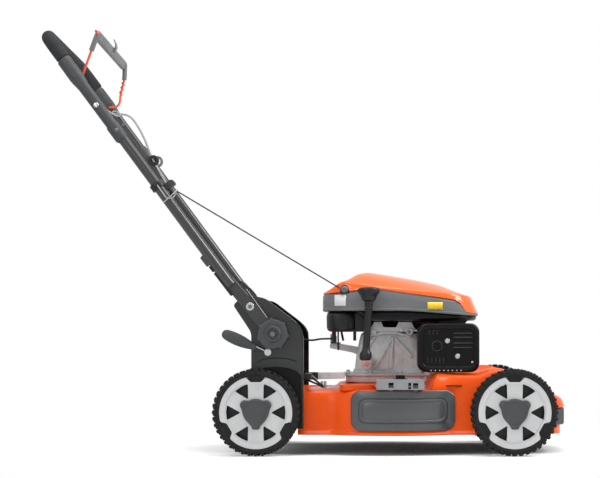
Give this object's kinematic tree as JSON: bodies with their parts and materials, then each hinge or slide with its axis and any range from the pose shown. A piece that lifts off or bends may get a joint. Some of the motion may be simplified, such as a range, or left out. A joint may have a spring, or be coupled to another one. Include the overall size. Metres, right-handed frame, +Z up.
{
  "type": "self-propelled lawn mower",
  "caption": "Walk-behind petrol mower: pressed orange deck on plastic wheels, upright-shaft engine, side outlet with sprung door, and a folding tubular handle with a bail.",
  "frame": {"origin": "on the ground, at the middle of the mower's length and width", "axes": "+X ahead, the way the mower travels; +Y to the operator's left; +Z up"},
  "size_m": [1.2838, 0.548, 1.0485],
  "materials": {
    "aluminium": "as cast",
    "bail_red": "satin orange-red",
    "belt": "plain black",
    "black_plastic": "fine grained black",
    "cable": "light grey sheath",
    "cover_orange": "gloss orange moulding",
    "dark_sheet": "satin black powder coat",
    "foam": "closed-cell foam",
    "grey_plastic": "fine grained dark grey",
    "orange": "gloss orange powder coat",
    "rope": "braided black cord",
    "rubber": "moulded black tread",
    "silver_plastic": "satin light grey",
    "steel": "zinc plated"
  },
  "bodies": {
    "chassis": {"deck_shell": "orange", "front_bumper": "grey_plastic", "tower_right": "dark_sheet", "tower_left": "dark_sheet", "tower_brace": "dark_sheet", "door_bracket": "grey_plastic", "door_rod": "steel", "door_spring": "steel", "engine_block": "aluminium", "oil_sump": "aluminium", "cylinder_head": "aluminium", "spark_plug": "steel", "blower_housing": "black_plastic", "shroud_band": "grey_plastic", "top_cover": "cover_orange", "fuel_tank": "black_plastic", "oil_tube": "black_plastic", "muffler": "steel", "muffler_guard": "black_plastic", "carburettor": "aluminium", "air_filter_cover": "black_plastic", "drive_belt": "belt"},
    "rear_axle_arm": {"rear_axle": "steel", "gearbox": "aluminium"},
    "front_axle_arm": {"front_axle": "steel"},
    "lever_arm": {"height_lever": "steel", "height_grip": "grey_plastic"},
    "drive_pulley": {"gearbox_pulley": "steel"},
    "crank": {"crankshaft": "steel", "flywheel": "aluminium", "blade": "steel", "blade_bolt": "steel"},
    "door": {"side_door": "grey_plastic"},
    "dipstick": {"oil_cap": "black_plastic"},
    "filler_cap": {"fuel_cap": "black_plastic"},
    "brake": {"brake_lever": "black_plastic"},
    "handle": {"handle_loop": "dark_sheet", "foam_grip": "foam", "moulding_right": "grey_plastic", "moulding_left": "grey_plastic", "rope_guide": "black_plastic", "starter_rope": "rope", "brake_cable": "cable"},
    "bow": {"bail": "bail_red", "bail_grip": "grey_plastic"},
    "starter": {"starter_grip": "grey_plastic"},
    "knob_right": {"star_knob_right": "grey_plastic"},
    "knob_left": {"star_knob_left": "grey_plastic"},
    "wheel_rear_right": {"tyre_rear_right": "rubber", "rim_rear_right": "silver_plastic", "hub_cap_rear_right": "grey_plastic"},
    "wheel_rear_left": {"tyre_rear_left": "rubber", "rim_rear_left": "silver_plastic", "hub_cap_rear_left": "grey_plastic"},
    "wheel_front_right": {"tyre_front_right": "rubber", "rim_front_right": "silver_plastic", "hub_cap_front_right": "grey_plastic"},
    "wheel_front_left": {"tyre_front_left": "rubber", "rim_front_left": "silver_plastic", "hub_cap_front_left": "grey_plastic"}
  },
  "joints": [
    {"name": "rear_height", "type": "hinge", "parent": "chassis", "child": "rear_axle_arm", "pos_m": [-0.04585, 0, 0.09198], "axis": [0, -1, 0], "range_deg": [0, 24], "deforming": ["drive_belt"]},
    {"name": "front_height", "type": "hinge", "parent": "chassis", "child": "front_axle_arm", "pos_m": [0.42642, 0, 0.09198], "axis": [0, 1, 0], "range_deg": [0, 24]},
    {"name": "lever_turn", "type": "hinge", "parent": "chassis", "child": "lever_arm", "pos_m": [-0.09272, -0.232, 0.249], "axis": [0, 1, 0], "range_deg": [0, 24]},
    {"name": "wheel_rear_right_spin", "type": "hinge", "parent": "rear_axle_arm", "child": "wheel_rear_right", "pos_m": [-0.11972, -0.2475, 0.105], "axis": [0, 1, 0], "continuous": true},
    {"name": "wheel_rear_left_spin", "type": "hinge", "parent": "rear_axle_arm", "child": "wheel_rear_left", "pos_m": [-0.11972, 0.2475, 0.105], "axis": [0, 1, 0], "continuous": true},
    {"name": "wheel_front_right_spin", "type": "hinge", "parent": "front_axle_arm", "child": "wheel_front_right", "pos_m": [0.50028, -0.2475, 0.105], "axis": [0, 1, 0], "continuous": true},
    {"name": "wheel_front_left_spin", "type": "hinge", "parent": "front_axle_arm", "child": "wheel_front_left", "pos_m": [0.50028, 0.2475, 0.105], "axis": [0, 1, 0], "continuous": true},
    {"name": "crank_spin", "type": "hinge", "parent": "chassis", "child": "crank", "pos_m": [0.20528, 0, 0.2], "axis": [0, 0, 1], "continuous": true},
    {"name": "pulley_spin", "type": "hinge", "parent": "rear_axle_arm", "child": "drive_pulley", "pos_m": [-0.08972, 0, 0.128], "axis": [0, 0, 1], "continuous": true},
    {"name": "door_swing", "type": "hinge", "parent": "chassis", "child": "door", "pos_m": [0.22628, -0.255, 0.1675], "axis": [-1, 0, 0], "range_deg": [0, 100], "stiffness_Nm_per_rad": 0.35, "springref_deg": -20.05},
    {"name": "dipstick_lift", "type": "slide", "parent": "chassis", "child": "dipstick", "axis": [0, 0, 1], "range_m": [0, 0.1]},
    {"name": "fuel_cap_turn", "type": "hinge", "parent": "chassis", "child": "filler_cap", "pos_m": [0.08929, 0.188, 0.362], "axis": [0, 0, 1], "range_deg": [0, 120]},
    {"name": "brake_lever_turn", "type": "hinge", "parent": "chassis", "child": "brake", "pos_m": [0.06728, -0.022, 0.27], "axis": [0, 0, 1], "range_deg": [0, 26]},
    {"name": "handle_fold", "type": "hinge", "parent": "chassis", "child": "handle", "pos_m": [-0.07971, 0, 0.293], "axis": [0, 1, 0], "range_deg": [0, 100], "deforming": ["starter_rope", "brake_cable"]},
    {"name": "bail_swing", "type": "hinge", "parent": "handle", "child": "bow", "pos_m": [-0.54677, 0, 0.90601], "axis": [0, -1, 0], "range_deg": [0, 46], "stiffness_Nm_per_rad": 1, "springref_deg": -28.65, "deforming": ["brake_cable"]},
    {"name": "starter_pull", "type": "slide", "parent": "handle", "child": "starter", "axis": [-0.5934, 0, 0.8049], "range_m": [0, 0.25], "stiffness_N_per_m": 20, "springref_m": -0.25, "deforming": ["starter_rope"]},
    {"name": "star_knob_right_turn", "type": "hinge", "parent": "handle", "child": "knob_right", "pos_m": [-0.07971, -0.242, 0.293], "axis": [0, 1, 0], "continuous": true},
    {"name": "star_knob_left_turn", "type": "hinge", "parent": "handle", "child": "knob_left", "pos_m": [-0.07971, 0.242, 0.293], "axis": [0, 1, 0], "continuous": true}
  ],
  "couplings": [
    {"joint": "front_height", "follows": "rear_height", "ratio": 1},
    {"joint": "lever_turn", "follows": "rear_height", "ratio": 1},
    {"joint": "pulley_spin", "follows": "crank_spin", "ratio": 0.7778},
    {"joint": "brake_lever_turn", "follows": "bail_swing", "ratio": 0.5435}
  ]
}
